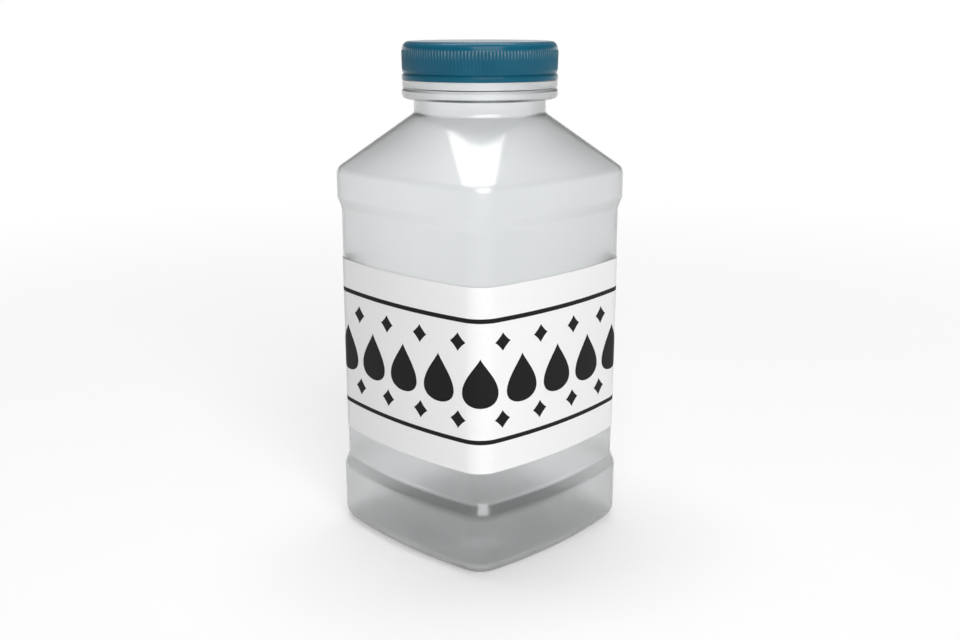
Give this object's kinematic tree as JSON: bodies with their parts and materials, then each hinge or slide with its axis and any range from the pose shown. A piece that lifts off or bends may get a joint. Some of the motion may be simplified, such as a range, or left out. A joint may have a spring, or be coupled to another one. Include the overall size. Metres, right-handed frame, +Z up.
{
  "type": "sauce bottle",
  "caption": "Empty translucent square squeeze bottle with rounded corners, stepped belts, a paper label wrapped over two faces, ribbed screw cap and tamper band.",
  "frame": {"origin": "middle of the base on the standing plane", "axes": "+Z up along the bottle's axis; the four faces look along +X, +Y, -X and -Y; the label covers the -X and -Y faces"},
  "size_m": [0.071, 0.071, 0.1503],
  "materials": {
    "bottle_plastic": "smooth hazy translucent blown plastic",
    "cap_plastic": "smooth moulded teal plastic, satin gloss",
    "band_plastic": "smooth moulded teal plastic, satin gloss",
    "label_paper": "matt white paper with dark printed shapes"
  },
  "bodies": {
    "root": {"bottle": "bottle_plastic", "cap": "cap_plastic", "tamper_band": "band_plastic", "label": "label_paper"}
  },
  "joints": []
}
